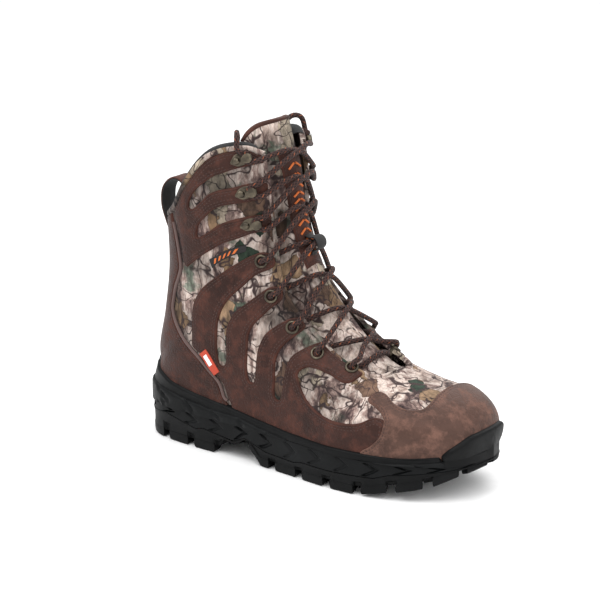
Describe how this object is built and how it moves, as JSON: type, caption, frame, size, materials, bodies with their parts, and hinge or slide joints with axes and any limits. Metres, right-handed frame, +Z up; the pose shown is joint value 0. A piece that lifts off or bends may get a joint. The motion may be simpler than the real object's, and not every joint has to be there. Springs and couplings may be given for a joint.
{
  "type": "insulated hunting boot",
  "caption": "Lace-up insulated hunting boot for the right foot: camouflage fabric shaft, leather lacing straps and toe cap, lugged rubber sole, padded tongue and removable footbed.",
  "frame": {"origin": "on the ground under the middle of the boot's bounding box", "axes": "+X from heel to toe, +Y towards the inner (medial) side of the right foot, +Z up"},
  "size_m": [0.3107, 0.1131, 0.2694],
  "materials": {
    "camo_fabric": null,
    "brown_leather": "matt brushed brown leather",
    "lining_fabric": "matt black knit",
    "black_rubber": "matt black rubber",
    "trim_rubber": "matt black moulded trim",
    "midsole_foam": "matt dark moulded foam",
    "fibre_board": "plain fibre board",
    "stiffener_sheet": "plain stiffener sheet",
    "spring_steel": "plain steel",
    "antique_brass": "darkened antique brass",
    "lace_cord": "round braided cord",
    "piping": "covered cord",
    "orange_label": "woven orange label"
  },
  "bodies": {
    "boot": {"aglet_lateral": "trim_rubber", "aglet_medial": "trim_rubber", "collar_binding": "camo_fabric", "eyelet_lateral_1": "antique_brass", "eyelet_lateral_2": "antique_brass", "eyelet_lateral_3": "antique_brass", "eyelet_lateral_4": "antique_brass", "eyelet_lateral_5": "antique_brass", "eyelet_medial_1": "antique_brass", "eyelet_medial_2": "antique_brass", "eyelet_medial_3": "antique_brass", "eyelet_medial_4": "antique_brass", "eyelet_medial_5": "antique_brass", "gusset_lateral": "lining_fabric", "gusset_medial": "lining_fabric", "heel_counter": "stiffener_sheet", "heel_overlay": "brown_leather", "heel_piping_lateral": "piping", "heel_piping_medial": "piping", "hook_lateral_1": "antique_brass", "hook_lateral_2": "antique_brass", "hook_lateral_3": "antique_brass", "hook_medial_1": "antique_brass", "hook_medial_2": "antique_brass", "hook_medial_3": "antique_brass", "insole_board": "fibre_board", "insulated_bootie": "lining_fabric", "lace": "lace_cord", "lace_keeper": "brown_leather", "lace_tail_lateral": "lace_cord", "lace_tail_medial": "lace_cord", "lower_overlay_lateral": "brown_leather", "lower_overlay_medial": "brown_leather", "midsole": "midsole_foam", "outsole": "black_rubber", "pull_loop": "brown_leather", "quarter_fabric_lateral": "camo_fabric", "quarter_fabric_medial": "camo_fabric", "rand": "black_rubber", "rivet_lateral_1": "antique_brass", "rivet_lateral_2": "antique_brass", "rivet_lateral_3": "antique_brass", "rivet_medial_1": "antique_brass", "rivet_medial_2": "antique_brass", "rivet_medial_3": "antique_brass", "seam_tab": "orange_label", "shank": "spring_steel", "side_patch": "trim_rubber", "toe_bumper": "black_rubber", "toe_cap": "brown_leather", "toe_puff": "stiffener_sheet", "tongue": "camo_fabric", "tongue_strip": "brown_leather", "upper_overlay_lateral": "brown_leather", "upper_overlay_medial": "brown_leather", "vamp_fabric": "camo_fabric"},
    "tongue_flap": {"tongue_top_flap": "camo_fabric"},
    "footbed": {"footbed": "lining_fabric"}
  },
  "joints": [
    {"name": "tongue_flap_bend", "type": "hinge", "parent": "boot", "child": "tongue_flap", "pos_m": [-0.028, 0.0024, 0.249], "axis": [0, 1, 0], "range_deg": [-4, 25], "stiffness_Nm_per_rad": 0.2},
    {"name": "footbed_lift", "type": "hinge", "parent": "boot", "child": "footbed", "pos_m": [0.1373, 0.0024, 0.0356], "axis": [0, 1, 0], "range_deg": [0, 11]}
  ]
}
